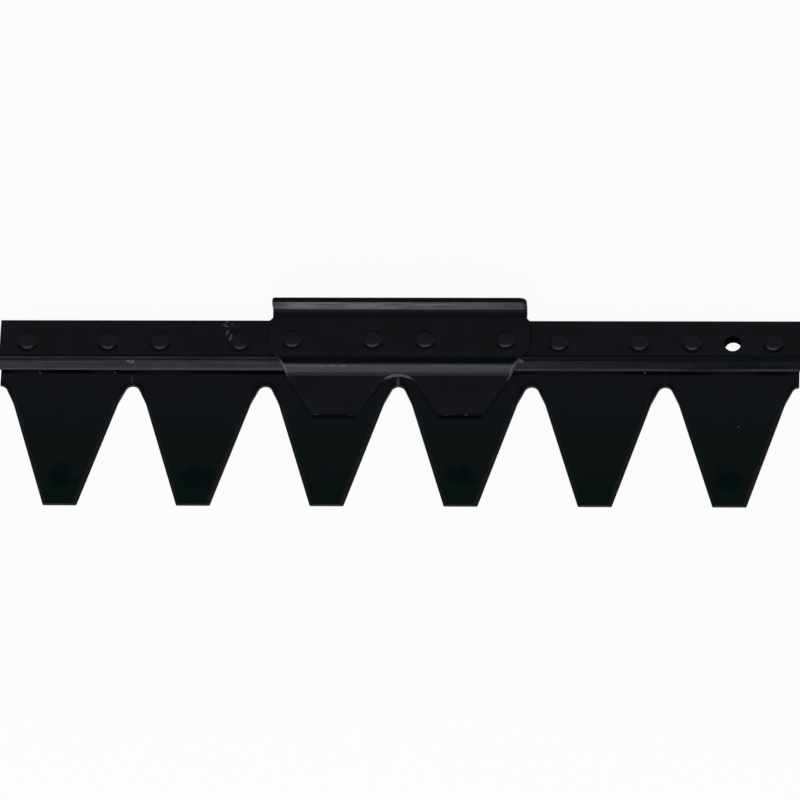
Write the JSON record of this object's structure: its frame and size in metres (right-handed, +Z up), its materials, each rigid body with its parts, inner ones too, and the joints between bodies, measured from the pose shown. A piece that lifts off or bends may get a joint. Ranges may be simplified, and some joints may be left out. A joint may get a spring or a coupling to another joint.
{
  "type": "sickle bar mower knife",
  "caption": "Flat reciprocating mower knife: tapered cutting sections riveted under a bevelled steel bar, with a pressed drive head in the middle, all painted black.",
  "frame": {"origin": "middle of the knife's bounding box, at the level of the sections' undersides", "axes": "+X along the bar, +Y from the teeth to the bar's back, +Z up through the rivets"},
  "size_m": [0.4592, 0.1222, 0.0215],
  "materials": {
    "bar_paint": "satin black paint, worn along the front bevel",
    "head_paint": "satin black paint, scuffed on the flange and the joggle",
    "section_paint": "satin black paint over ground cutting edges",
    "rivet_paint": "satin black paint"
  },
  "bodies": {
    "root": {"knife_back": "bar_paint", "knife_head": "head_paint", "knife_section_1": "section_paint", "knife_section_2": "section_paint", "knife_section_3": "section_paint", "knife_section_4": "section_paint", "knife_section_5": "section_paint", "knife_section_6": "section_paint", "section_rivet_1": "rivet_paint", "section_rivet_2": "rivet_paint", "section_rivet_3": "rivet_paint", "section_rivet_4": "rivet_paint", "section_rivet_5": "rivet_paint", "section_rivet_6": "rivet_paint", "section_rivet_7": "rivet_paint", "section_rivet_8": "rivet_paint", "head_rivet_1": "rivet_paint", "head_rivet_2": "rivet_paint", "head_rivet_3": "rivet_paint", "head_rivet_4": "rivet_paint"}
  },
  "joints": []
}
